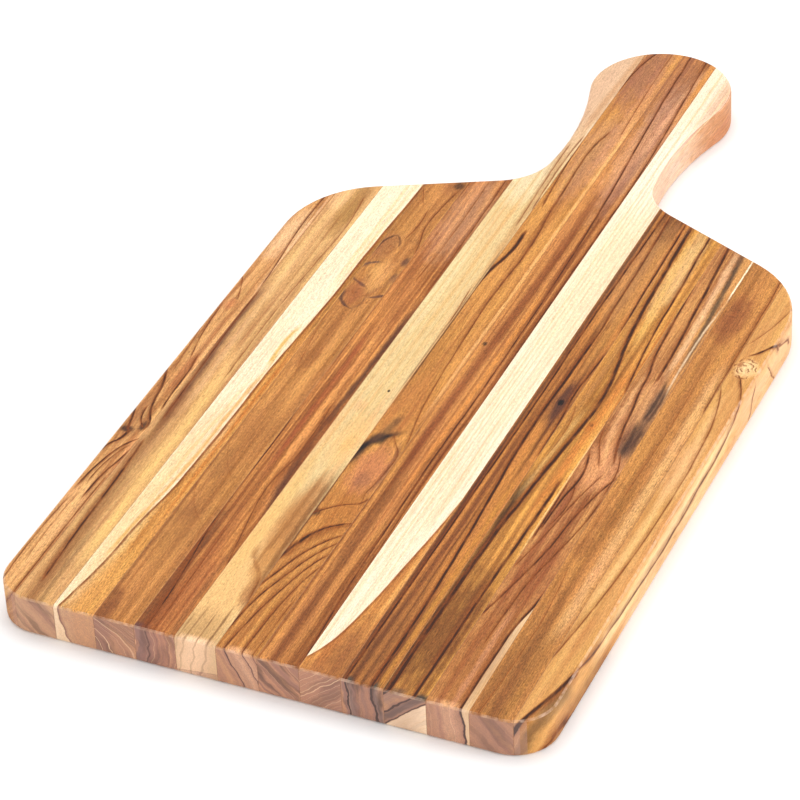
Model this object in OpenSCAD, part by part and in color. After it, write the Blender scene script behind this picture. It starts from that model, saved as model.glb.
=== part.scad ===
// Paddle serving board, glued up edge to edge from square teak staves.
// X runs across the board, Y along it toward the handle and Z up.
// The origin lies under the middle of the board, on its underside.

/* [Board] */
// Thickness of the board
board_thickness = 19.05; // [12:0.05:30]
// Radius that eases the upper and lower edges
edge_radius = 1.6; // [0.8:0.1:2.5]

/* [Staves] */
// Width of a full stave
stave_width = 19.05; // [17:0.05:22]
// Width that is left of the outermost stave on each side
edge_stave_width = 12.7; // [8:0.05:18]
// Thickness of the glue between two staves
glue_thickness = 0.15; // [0.1:0.01:0.3]

/* [Blade] */
// Distance from the near end to where the lines of side and shoulder meet
blade_length = 330; // [240:1:420]
// Radius of the corners at the near end
near_corner_radius = 19; // [14:1:40]
// Angle of the shoulders to the near end
shoulder_angle = 25; // [15:1:32]
// Radius of the corner between side and shoulder
shoulder_corner_radius = 49; // [20:1:60]

/* [Handle] */
// Distance from where the lines of side and shoulder meet to the tip of the handle
handle_length = 178; // [150:1:220]
// What the round end of the handle leaves off the outer side of its outermost staves
grip_trim = 2.6; // [1:0.1:6]
// How far each side of the neck draws in from the round end's widest place
waist_depth = 9.5; // [5:0.5:12]
// Radius of the long hollow curve along the neck
neck_radius = 165; // [120:1:240]
// Radius of the hollow curve that joins a shoulder to the neck
neck_root_radius = 29; // [20:1:40]

/* [Hidden] */
stave_count = 14;
handle_stave_count = 4;
stave_numbers = [1:stave_count];
seam_numbers = [1:stave_count - 1];
STAVE_NODES = [for (k = stave_numbers) str("stave_", k < 10 ? "0" : "", k)];
GLUE_NODES = [for (k = seam_numbers) str("glue_line_", k < 10 ? "0" : "", k)];

// Main lines of the outline
board_length = blade_length + handle_length;
half_width = (stave_count / 2 - 1) * stave_width + edge_stave_width;
near_y = -board_length / 2;
tip_y = board_length / 2;
shoulder_y = near_y + blade_length;
overrun = edge_radius;

// Corners of the blade
near_corner = [half_width - near_corner_radius, near_y + near_corner_radius];
shoulder_corner_drop = shoulder_corner_radius * tan((90 - shoulder_angle) / 2);
shoulder_corner = [half_width - shoulder_corner_radius, shoulder_y - shoulder_corner_drop];
shoulder_outward = [sin(shoulder_angle), cos(shoulder_angle)];
shoulder_inward_run = [-cos(shoulder_angle), sin(shoulder_angle)];

// Round end of the handle and the hollow neck that meets it in one smooth line
grip_radius = handle_stave_count / 2 * stave_width - grip_trim;
grip_centre = [0, tip_y - grip_radius];
neck_middle_x = grip_radius - waist_depth + neck_radius;
neck_fall = sqrt(pow(neck_radius + grip_radius, 2) - pow(neck_middle_x, 2));
neck_centre = [neck_middle_x, grip_centre[1] - neck_fall];

// Hollow root curve, which touches the shoulder's line and the neck's circle.
// Its centre is found along a line beside the shoulder's, from root_line_start.
root_line_start = [half_width, shoulder_y] + neck_root_radius * shoulder_outward;
root_to_neck = root_line_start - neck_centre;
root_along = root_to_neck * shoulder_inward_run;
root_spare = root_to_neck * root_to_neck - pow(neck_radius - neck_root_radius, 2);
root_travel = sqrt(pow(root_along, 2) - root_spare) - root_along;
root_centre = root_line_start + root_travel * shoulder_inward_run;

// Directions in which the curves meet, all counter-clockwise from +X
full_turn = 360;
shoulder_direction = 90 - shoulder_angle;
root_direction = direction_of(root_centre - neck_centre);
neck_direction = direction_of(grip_centre - neck_centre);
grip_direction = neck_direction - 180;

// Flat steps that make up a curve of the outline, and a quarter turn over an edge
near_corner_steps = 10;
shoulder_corner_steps = 10;
root_steps = 8;
neck_steps = 6;
grip_steps = 20;
edge_steps = 4;

// Curves of the outline's right half, from the near end to the tip. Each has its centre,
// radius, first and last direction, the side it bulges to, its steps and its first step,
// which is 1 where the curve starts on the end of the one before.
outward = 1;
hollow = -1;
curves = [
    [near_corner, near_corner_radius, -90, 0, outward, near_corner_steps, 0],
    [shoulder_corner, shoulder_corner_radius, 0, shoulder_direction, outward, shoulder_corner_steps, 0],
    [root_centre, neck_root_radius, shoulder_direction + 180, root_direction, hollow, root_steps, 0],
    [neck_centre, neck_radius, root_direction, neck_direction, hollow, neck_steps, 1],
    [grip_centre, grip_radius, grip_direction, 90, outward, grip_steps, 1]
];

// Insets and heights of the outline, from the underside over both eased edges to the top
levels = concat(
    [for (step = [edge_steps:-1:0]) [edge_inset(step), edge_fall(step)]],
    [for (step = [0:edge_steps]) [edge_inset(step), board_thickness - edge_fall(step)]]
);

// Main colour of each stave, from the left edge to the right
stave_colours = [
    "#b87838", "#c08a4e", "#efdcae", "#a86c38", "#9c5a30", "#ecd294", "#b4713a",
    "#a2673a", "#f0dcae", "#a8703c", "#b87a3a", "#b07448", "#a4683a", "#c08a46"
];
glue_colour = "#7a5230";

function direction_of(v) = (atan2(v[1], v[0]) + full_turn) % full_turn;

// How far an eased edge draws the outline in, and how far below the face it does so
function edge_inset(step) = edge_radius * (1 - cos(90 * step / edge_steps));
function edge_fall(step) = edge_radius * (1 - sin(90 * step / edge_steps));

// Place of a seam, counted from the left edge, which is 0
function seam_x(k) =
    k == 0 ? -half_width :
    k == stave_count ? half_width :
    (k - stave_count / 2) * stave_width;

function centre_of(curve) = curve[0];
function radius_of(curve) = curve[1];
function from_of(curve) = curve[2];
function to_of(curve) = curve[3];
function bulge_of(curve) = curve[4];
function steps_of(curve) = curve[5];
function first_step_of(curve) = curve[6];

// Place on a curve, drawn in from the board's side, at a share of the way along it
function curve_point(curve, inset, share) =
    let (
        radius = radius_of(curve) - bulge_of(curve) * inset,
        direction = from_of(curve) + (to_of(curve) - from_of(curve)) * share
    )
    centre_of(curve) + radius * [cos(direction), sin(direction)];

// Whether a curve comes between two distances from the middle line
function reaches(curve, near_x, far_x) =
    let (
        ends = [curve_point(curve, 0, 0)[0], curve_point(curve, 0, 1)[0]],
        side = centre_of(curve)[0] + bulge_of(curve) * radius_of(curve),
        lowest = bulge_of(curve) == hollow ? side : min(ends),
        highest = bulge_of(curve) == hollow ? max(ends) : side
    )
    lowest < far_x && highest > near_x;

// Right half of the outline. A curve outside the given distances keeps its ends alone.
function right_half(inset, near_x, far_x) = [
    for (curve = curves)
        let (steps = reaches(curve, near_x, far_x) ? steps_of(curve) : 1)
        for (step = [first_step_of(curve):steps]) curve_point(curve, inset, step / steps)
];

// Closed outline at one level: up the right side to the tip and down the left side
function ring(level, near_x, far_x) =
    let (right = right_half(level[0], near_x, far_x))
    concat(
        [for (p = right) [p[0], p[1], level[1]]],
        [for (k = [len(right) - 2:-1:0]) [-right[k][0], right[k][1], level[1]]]
    );

// Whole board with eased edges, fine between the given distances from the middle line
module board(near_x, far_x) {
    rings = [for (level = levels) ring(level, near_x, far_x)];
    count = len(rings[0]);
    tip = (count - 1) / 2;
    last = (len(rings) - 1) * count;
    sides = [
        for (j = [0:len(rings) - 2], i = [0:count - 1])
            let (next = (i + 1) % count)
            [j * count + i, (j + 1) * count + i, (j + 1) * count + next, j * count + next]
    ];
    underside = concat(
        [for (i = [0:tip - 2]) [i, i + 1, count - 2 - i, count - 1 - i]],
        [[tip - 1, tip, tip + 1]]
    );
    top = [for (face = underside) [for (k = [len(face) - 1:-1:0]) last + face[k]]];
    polyhedron([for (r = rings) each r], concat(sides, underside, top));
}

// What of the board lies between two upright planes
module between(left_x, right_x) {
    near_x = min(abs(left_x), abs(right_x)) - overrun;
    far_x = max(abs(left_x), abs(right_x)) + overrun;
    intersection() {
        board(near_x, far_x);
        translate([left_x, near_y - overrun, -overrun])
            cube([right_x - left_x, board_length + 2 * overrun, board_thickness + 2 * overrun]);
    }
}

// A stave gives half the glue's thickness at each seam and keeps the board's outer side
module stave(k) {
    left_gap = k == 1 ? -overrun : glue_thickness / 2;
    right_gap = k == stave_count ? -overrun : glue_thickness / 2;
    color(stave_colours[k - 1])
        between(seam_x(k - 1) + left_gap, seam_x(k) - right_gap);
}

module glue_line(k) {
    color(glue_colour)
        between(seam_x(k) - glue_thickness / 2, seam_x(k) + glue_thickness / 2);
}

for (k = stave_numbers)
    stave(k);
for (k = seam_numbers)
    glue_line(k);
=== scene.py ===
import math
from dataclasses import dataclass, field

import bpy
from mathutils import Matrix, Vector

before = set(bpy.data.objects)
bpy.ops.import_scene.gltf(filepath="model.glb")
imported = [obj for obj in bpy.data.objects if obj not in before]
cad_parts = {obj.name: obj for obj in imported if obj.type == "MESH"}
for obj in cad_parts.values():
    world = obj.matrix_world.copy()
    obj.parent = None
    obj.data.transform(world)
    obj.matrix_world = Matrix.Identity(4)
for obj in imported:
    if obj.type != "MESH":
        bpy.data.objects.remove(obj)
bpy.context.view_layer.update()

# Lengths of the board and its wood are in millimetres, as on a drawing.
# X runs across the board, Y along it toward the handle, and depth down from the top face.
MM = 0.001
STAVE_COUNT = 14
THICKNESS = 19.05
HALF_LENGTH = 254.0
HALF_WIDTH = 127.0
# How far beyond the board a growth line's path may go
CURVE_MARGIN = 60

# Size of the floor round the board, in metres
FLOOR_SIZE = 14.0

# Usual distance between the rings of two years
RING_SPACING = 3.4
# How far growth lines wobble aside. The inner wobble is full at its depth.
WIDE_WOBBLE = 1.5
FINE_WOBBLE = 0.48
INNER_WOBBLE = 4
INNER_WOBBLE_DEPTH = 6
# Length over which a growth line and a streak fade in and out
LINE_FADE = 10
STREAK_FADE = 30
# How far at most the side of a streak strays
MOST_RAGGED = 1.6
# Squared distance from its middle at which a cloud ends, 1 on its oval outline
CLOUD_REACH = 1.7
# How many curls a burl has, one in another
BURL_TURNS = 3
# How much quieter the sapwood's colouring is than the heartwood's
SAPWOOD_CALM = 0.65
# How rough oiled teak is, how little it shines and how high its fine relief is
TEAK_ROUGHNESS = 0.5
TEAK_SPECULAR = 0.15
TEAK_RELIEF = 0.04
# How far apart the patterns of neighbouring pieces lie
TEAK_SHIFT = 7.3
GLUE_SHIFT = 3.7

LINE_CORE = "#2e1306"
LINE_HALO = "#7a3c10"
PORE = "#4e2812"
BLACK_KNOT = "#1a1110"
PALE_FLECK = "#d8aa74"
END_GRAIN = "#bc9488"
END_SAPWOOD = "#e6bd9c"
END_MURK = "#463a38"
RAY = "#f6cca4"
# Pale pink of the eased edges: partly rubbed wear, partly a painted highlight of the round-over
EDGE_WEAR_AND_HIGHLIGHT = "#f2cdb4"
GLUE_DARK = "#6b4023"
GLUE_LIGHT = "#9c6a3c"

# What the wood's colour is multiplied by where it is more golden and where it is ruddier
GOLDEN = (1.05, 1.03, 0.87, 1)
RUDDY = (1, 0.90, 0.86, 1)

# Sockets of a mix node that carry colours
MIX_FIRST = 6
MIX_SECOND = 7
MIX_RESULT = 2


def tone(code):
    """Linear colour of a colour written as on a paint card."""
    parts = [int(code[k:k + 2], 16) / 255 for k in (1, 3, 5)]
    linear = [p / 12.92 if p <= 0.04045 else ((p + 0.055) / 1.055) ** 2.4 for p in parts]
    return (*linear, 1)


class Signal:
    """A number or a colour that varies over a surface, and the sums done on it."""

    def __init__(self, graph, socket):
        self.graph = graph
        self.socket = socket

    def __add__(self, other):
        return self.graph.math("ADD", self, other)

    def __sub__(self, other):
        return self.graph.math("SUBTRACT", self, other)

    def __rsub__(self, other):
        return self.graph.math("SUBTRACT", other, self)

    def __mul__(self, other):
        return self.graph.math("MULTIPLY", self, other)

    def __truediv__(self, other):
        return self.graph.math("DIVIDE", self, other)

    def __abs__(self):
        return self.graph.math("ABSOLUTE", self)

    __radd__ = __add__
    __rmul__ = __mul__


class Graph:
    """The nodes of one material."""

    def __init__(self, name):
        self.material = bpy.data.materials.new(name)
        self.material.use_nodes = True
        self.tree = self.material.node_tree
        self.tree.nodes.clear()

    def add(self, kind, **settings):
        node = self.tree.nodes.new(kind)
        for key, value in settings.items():
            setattr(node, key, value)
        return node

    def feed(self, socket, value):
        if isinstance(value, Signal):
            self.tree.links.new(value.socket, socket)
        elif value is not None:
            socket.default_value = value

    def split(self, socket):
        """The three numbers that make up a place or a direction."""
        node = self.add("ShaderNodeSeparateXYZ")
        self.tree.links.new(socket, node.inputs[0])
        return [Signal(self, part) for part in node.outputs]

    def math(self, operation, *values):
        node = self.add("ShaderNodeMath", operation=operation)
        for socket, value in zip(node.inputs, values):
            self.feed(socket, value)
        return Signal(self, node.outputs[0])

    def smooth(self, value, low, high):
        """0 up to low and 1 from high on, with a soft change between them."""
        node = self.add("ShaderNodeMapRange", interpolation_type="SMOOTHSTEP")
        for name, given in (("Value", value), ("From Min", low), ("From Max", high)):
            self.feed(node.inputs[name], given)
        return Signal(self, node.outputs["Result"])

    def noise(self, x, y, z, detail, roughness):
        """Random clouds that are about one unit across, from -0.5 to 0.5."""
        place = self.add("ShaderNodeCombineXYZ")
        for socket, value in zip(place.inputs, (x, y, z)):
            self.feed(socket, value)
        node = self.add("ShaderNodeTexNoise")
        self.tree.links.new(place.outputs[0], node.inputs["Vector"])
        node.inputs["Scale"].default_value = 1.0
        node.inputs["Detail"].default_value = detail
        node.inputs["Roughness"].default_value = roughness
        return Signal(self, node.outputs["Fac"]) - 0.5

    def chance(self, value):
        """A number from 0 to 1 that is different for each whole value."""
        node = self.add("ShaderNodeTexWhiteNoise", noise_dimensions="1D")
        self.feed(node.inputs["W"], value)
        return Signal(self, node.outputs["Value"])

    def blend(self, factor, first, second, how="MIX"):
        node = self.add("ShaderNodeMix", data_type="RGBA", blend_type=how)
        self.feed(node.inputs[0], factor)
        self.feed(node.inputs[MIX_FIRST], first)
        self.feed(node.inputs[MIX_SECOND], second)
        return Signal(self, node.outputs[MIX_RESULT])

    def course(self, y, path):
        """Distance across the board at which a smooth line through the path's points lies."""
        span = 2 * (HALF_LENGTH + CURVE_MARGIN)
        reach = 2 * (HALF_WIDTH + CURVE_MARGIN)
        node = self.add("ShaderNodeFloatCurve")
        self.feed(node.inputs["Value"], y / span + 0.5)
        points = sorted((py / span + 0.5, px / reach + 0.5) for px, py in path)
        curve = node.mapping.curves[0]
        curve.points[0].location = points[0]
        curve.points[1].location = points[-1]
        for point in points[1:-1]:
            curve.points.new(*point)
        node.mapping.update()
        return (Signal(self, node.outputs[0]) - 0.5) * reach

    def shader(self, colour, roughness):
        """The surface itself, which the material shows."""
        shader = self.add("ShaderNodeBsdfPrincipled")
        self.feed(shader.inputs["Base Color"], colour)
        self.feed(shader.inputs["Roughness"], roughness)
        output = self.add("ShaderNodeOutputMaterial")
        self.tree.links.new(shader.outputs[0], output.inputs["Surface"])
        return shader

    def emboss(self, shader, height, strength, step):
        """Gives the surface a fine relief with steps of so many millimetres."""
        bump = self.add("ShaderNodeBump")
        bump.inputs["Strength"].default_value = strength
        bump.inputs["Distance"].default_value = step * MM
        self.feed(bump.inputs["Height"], height)
        self.tree.links.new(bump.outputs[0], shader.inputs["Normal"])


@dataclass
class Pattern:
    """A random pattern's size across the stave, along it and down. One without a size down goes
    down as the growth lines do."""
    wide: float
    long: float
    deep: float = None
    detail: float = 2.0
    roughness: float = 0.5


@dataclass
class Line:
    """A dark growth line on the top face, through points (across, along). Its soft side is
    -1 for the left one and 1 for the right one."""
    path: list
    width: float = 0.6
    soft: float = 1.6
    strength: float = 0.8
    side: int = -1


@dataclass
class Streak:
    """A soft streak of another colour, through points (across, along)."""
    path: list
    wide: float
    colour: str
    strength: float = 0.6


@dataclass
class Border:
    """Where pale sapwood ends, through points (across, along). Side is -1 for sapwood on the
    left, line says how dark the line along it is, and lean how far it slants off the rings."""
    path: list
    side: int
    line: float = 0.7
    lean: float = 0.0


@dataclass
class Spot:
    """An oval place with its half width and half length."""
    x: float
    y: float
    wide: float
    long: float


@dataclass
class Knot(Spot):
    """A place that the grain flows round, with a dark middle."""
    push: float = 1.0
    dark: float = 0.0


@dataclass
class Burl(Spot):
    """A patch where the growth lines curl round and round."""
    strength: float = 0.6


@dataclass
class Cloud(Spot):
    """A soft patch of another colour."""
    colour: str
    strength: float = 0.6


@dataclass
class Wood:
    """How one stave is coloured and how it grew. Lean and bend say how its growth lines go
    down, and the numbers after them how strongly each kind of figure shows."""
    light: str
    dark: str
    lean: float = 0.0
    bend: float = 0.0
    sapwood: str = "#f8dfc0"
    border: Border = None
    rings: float = 0.3
    streaky: float = 0.5
    dashes: float = 0.2
    murk: float = 0.4
    rays: float = 0.3
    grain: float = 1.0
    sap_grain: float = 0.35
    lines: list = field(default_factory=list)
    streaks: list = field(default_factory=list)
    knots: list = field(default_factory=list)
    burls: list = field(default_factory=list)
    clouds: list = field(default_factory=list)


def near_end(x, wide, colour, strength=0.6):
    """A patch of another colour on the near end."""
    return Streak([(x, -251), (x, -262)], wide, colour, strength)


# The fourteen staves, from the left edge to the right


def stave_01():
    wood = Wood("#dfab6f", "#a26b3e", lean=0.7, rings=0.35, streaky=0.7, dashes=0.5, rays=0.5, murk=0.2)
    wood.lines = [
        Line([(-117.5, 80), (-118, 50), (-117, 30), (-115, 8), (-114, -10)], 0.7, 1.4, 0.75),
        Line([(-127, -2), (-123, -12), (-120, -22)], 0.6, 1.4, 0.6),
        Line([(-127, -32), (-125, -60), (-123, -84)], 0.5, 1.4, 0.5),
        Line([(-124.5, -28), (-123.5, -50), (-120, -72)], 0.6, 1.6, 0.7),
        Line([(-127.5, -78), (-126, -84), (-122.8, -94.5), (-120.7, -108.7), (-118.2, -117.2),
              (-115.5, -123), (-115.5, -129)], 1.4, 2, 0.95),
        Line([(-117.5, -70), (-116.2, -82.5), (-115.8, -100), (-114.9, -112)], 1, 1.8, 0.85),
        Line([(-127.5, -112), (-126.3, -116.2), (-124.4, -122.2), (-121.5, -131)], 1.2, 1.6, 0.9),
        Line([(-122, -113), (-120.6, -120.8), (-117.4, -127.5)], 0.9, 1.4, 0.8),
        Line([(-121, -132), (-122.3, -138.7), (-125.5, -143.9), (-127, -151)], 1.3, 1.8, 0.95, 1),
        Line([(-115, -136), (-119.5, -144.3), (-123.2, -161.3), (-124.5, -176)], 1.1, 1.8, 0.85, 1),
        Line([(-114.3, -144), (-115.5, -153), (-117.6, -165.7), (-118.3, -182)], 1, 1.8, 0.85, 1),
        Line([(-116.5, -142), (-120, -154), (-121.3, -172)], 0.7, 1.4, 0.7, 1),
        Line([(-115, -165), (-115.5, -200), (-115, -254)], 0.7, 1.6, 0.65),
        Line([(-124, -186), (-125, -215), (-123, -254)], 0.6, 2, 0.6),
        Line([(-121, -180), (-122, -205), (-120.5, -232)], 0.4, 1.4, 0.4),
    ]
    wood.streaks = [
        Streak([(-115.5, 72), (-115, 20), (-114.5, -12)], 1, "#f0c298"),
        Streak([(-117, -134), (-115, -146), (-114.5, -160)], 2.2, "#c87a4c", 0.35),
        Streak([(-121, -165), (-119, -200), (-120, -235)], 2.6, "#e2b478"),
    ]
    wood.knots = [Knot(-121, -27, 4, 8, 1.5), Knot(-120, -131, 4, 7, 2)]
    wood.clouds = [
        Cloud(-121, 36, 6, 22, "#ecc49c", 0.5),
        Cloud(-121, -27, 3, 5, "#b0623c", 0.5),
        Cloud(-119, -85, 4, 16, "#a05a30", 0.4),
        Cloud(-122.6, -131, 3.2, 2.4, BLACK_KNOT, 1),
        Cloud(-116.8, -127, 1.5, 3.8, BLACK_KNOT, 0.9),
        Cloud(-122, -122, 6, 16, "#7c4e34", 0.3),
        Cloud(-120, -192, 7, 22, "#e0ac7c", 0.4),
    ]
    return wood


def stave_02():
    wood = Wood("#e2b77b", "#9c663c", lean=-0.9, rings=0.15, streaky=0.35, dashes=0.3, grain=0.8,
                rays=0.15, murk=0.55)
    wood.lines = [
        Line([(-100, 78), (-97.5, 52), (-98, 20), (-99, -20), (-98.5, -80)], 0.6, 1.8, 0.5),
        Line([(-104, 60), (-103, 10), (-104, -60)], 0.4, 1.4, 0.3),
        Line([(-113.5, -14), (-113.2, -45), (-112, -75), (-111, -118)], 0.8, 2.2, 0.75),
        Line([(-112, -136), (-110.5, -160), (-109, -200), (-107, -240)], 1.3, 3.6, 0.85),
    ]
    wood.streaks = [
        Streak([(-113, -12), (-112.5, -50), (-111, -85), (-110.5, -125)], 3.2, "#643a28", 0.85),
        Streak([(-110, -95), (-109.5, -150), (-107.5, -200), (-106, -254)], 5, "#7c4a26", 0.7),
        Streak([(-103, -60), (-100, -110), (-99, -160), (-97.5, -215)], 4.5, "#e8bc78", 0.7),
        Streak([(-108.5, 20), (-107.5, -40), (-105.5, -100)], 2.6, "#e8be88", 0.45),
        Streak([(-103, -205), (-101.5, -254)], 1.8, "#84603c", 0.65),
        Streak([(-97.5, 40), (-97.5, -60)], 1.6, "#a07448", 0.5),
    ]
    wood.clouds = [
        Cloud(-102, 66, 4.5, 26, "#94682f", 0.7),
        Cloud(-110, 74, 4, 12, "#ecbe8c", 0.5),
        Cloud(-104, -242, 10, 26, "#b07c4c", 0.4),
    ]
    return wood


def stave_03():
    wood = Wood("#d29650", "#a0662a", bend=-0.014, sapwood="#f2dbbc", rings=0.15,
                dashes=0.45, grain=1.2, sap_grain=0.65, murk=0)
    wood.border = Border(
        [(-77, 110), (-77.5, 90), (-79, 40), (-79.5, 0), (-81, -40), (-82, -60), (-82.5, -130),
         (-84, -165), (-87, -190), (-89, -220), (-91.5, -240), (-93.5, -254)], -1, 0.55)
    wood.streaks = [
        Streak([(-77, 110), (-77.2, 50), (-77.3, 0), (-77.6, -35)], 1.3, "#8a5a28", 0.7),
        Streak([(-84, 110), (-83.5, 60), (-83, 10)], 1.4, "#e8c48c"),
        Streak([(-80, 110), (-80.5, 60), (-81, 10)], 1.6, "#e6c896", 0.5),
        Streak([(-84, -34), (-85, -50), (-84, -64)], 1.8, "#cfa040", 0.8),
        Streak([(-83.5, -70), (-84.5, -100), (-84.5, -140), (-87, -175), (-90, -215)],
               1.7, "#cf9848", 0.75),
        Streak([(-87, -80), (-88, -120), (-90, -175)], 1.6, "#dcb878", 0.5),
        Streak([(-78.2, -60), (-78.5, -120), (-78.5, -180)], 1.6, "#b86a28"),
    ]
    wood.clouds = [
        Cloud(-88, -124, 9, 30, "#e0ba88", 0.5),
        Cloud(-91, -195, 7, 66, "#e2c08a", 0.75),
        Cloud(-82, -238, 7, 30, "#cc9450", 0.75),
    ]
    return wood


def stave_04():
    wood = Wood("#c88c4e", "#8a5426", lean=-2.2, bend=0.06, rings=0.2, rays=0.85)
    wood.lines = [
        Line([(-77, 97), (-73, 88), (-69.5, 80)], 0.5, 1.6, 0.45),
        Line([(-66, 78), (-65, 62), (-66.5, 50)], 0.6, 1.6, 0.6),
        Line([(-59, 98), (-61, 78), (-61, 62), (-58.5, 50), (-57, 40)], 0.7, 1.8, 0.7),
        Line([(-76.5, -10), (-74, -40), (-70, -66)], 0.5, 2.4, 0.4),
        Line([(-77, -112), (-72, -132), (-60, -150)], 0.4, 3, 0.3),
        Line([(-77, -150), (-72, -166), (-60, -182)], 0.4, 3, 0.35),
    ]
    wood.streaks = [
        Streak([(-77, 23), (-75.5, 25.5), (-70, 29.5)], 2.8, "#523834", 0.8),
        Streak([(-77, 14), (-75, 11.2), (-72, 10.4), (-69, 7.8)], 2.8, "#52302a", 0.8),
        Streak([(-76.5, 34), (-76, 42), (-74, 49), (-71, 53)], 1.1, "#4a2a1c", 0.8),
        Streak([(-66.5, 44), (-68, 49), (-71, 53)], 0.9, "#5a3420", 0.7),
        Streak([(-76.2, 2), (-75.3, -3.4), (-72.3, -8.1), (-67.5, -10.8)], 2, "#4c3028", 0.85),
        Streak([(-67.5, -10.8), (-65, -6.9), (-64.3, -0.9)], 1.4, "#7c5030", 0.65),
        Streak([(-63, 0.2), (-61.5, 1.6), (-59.5, 2.2), (-57, 4.6)], 2.6, "#5a3830", 0.85),
        Streak([(-64.4, -1), (-63, 6), (-60, 12), (-58.5, 18)], 1.6, "#9c6a40"),
        Streak([(-76, -110), (-75.5, -180), (-75, -254)], 1.4, "#7c4824", 0.65),
        Streak([(-58.5, -20), (-58, -60), (-58.5, -120)], 1, "#84522c", 0.5),
        Streak([(-57.8, -140), (-58, -254)], 1.2, "#8a562e", 0.5),
        Streak([(-66, -16), (-64, -40), (-65, -80)], 2.4, "#d69c5a", 0.4),
    ]
    wood.knots = [Knot(-60.5, 102, 3.2, 4, 1, 0.7)]
    wood.burls = [Burl(-68, 20, 9.5, 33, 0.4)]
    wood.clouds = [
        Cloud(-71, 3, 5, 12, "#9a5c36", 0.85),
        Cloud(-72, 41, 4.5, 13, "#945e3a", 0.75),
        Cloud(-66, 18, 5, 13, "#d8a060", 0.7),
        Cloud(-58.6, 33, 1.8, 4, "#5a3a30", 0.75),
        Cloud(-58.5, 19, 1.8, 4.5, "#6c4638", 0.65),
        Cloud(-62, 100, 6, 8, "#8e5434", 0.5),
        Cloud(-69, -53, 5, 9, "#8a5228", 0.45),
        Cloud(-67, -112, 9, 24, "#94602f", 0.35),
        Cloud(-68, -190, 9, 26, "#8a5830", 0.35),
        Cloud(-72, -140, 5, 12, "#8e5c34", 0.45),
        Cloud(-71, -176, 5, 8, "#8a5830", 0.5),
        Cloud(-74.5, -252, 6, 22, "#7c4826", 0.85),
    ]
    return wood


def stave_05():
    wood = Wood("#d28e4e", "#844a22", lean=-0.35, bend=0.02, rings=0.5, streaky=0.9, dashes=0.4,
                rays=0.6, murk=0.45)
    wood.lines = [
        Line([(-41, 118), (-39.5, 70), (-39, 10)], 0.7, 1.8, 0.7),
        Line([(-48, 112), (-47, 70), (-47.5, 20)], 0.6, 1.8, 0.5),
        Line([(-44, -82), (-42.5, -110), (-42.5, -124), (-45, -140), (-45, -156), (-42.5, -175),
              (-38, -205)], 0.7, 5, 0.65, 1),
        Line([(-57.5, -92), (-56.5, -120), (-57.5, -150)], 0.8, 1.4, 0.8),
        Line([(-57.5, -160), (-56, -188), (-53.5, -212), (-52, -236), (-52, -256)], 1, 4.5, 0.85),
        Line([(-49.5, -180), (-48.5, -215), (-48, -254)], 0.6, 1.8, 0.55),
    ]
    wood.streaks = [
        Streak([(-46.5, -20), (-46.5, -80), (-46, -130)], 2.4, "#d89456", 0.7),
        Streak([(-39.5, -5), (-40, -60), (-41, -105), (-39, -160)], 2.8, "#45221a", 0.85),
        Streak([(-51, -30), (-50.5, -80), (-51, -130)], 2, "#8c3c20"),
        Streak([(-56, -170), (-54.5, -215), (-54, -256)], 4, "#5e341f", 0.75),
        near_end(-54.5, 5, "#4a3a44", 0.8),
        Streak([(-40.5, -180), (-40, -254)], 1.8, "#6c3c20"),
    ]
    wood.clouds = [Cloud(-47, 78, 10, 40, "#c09173", 0.45), Cloud(-46, -230, 7, 40, "#9c5a30", 0.5)]
    return wood


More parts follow.
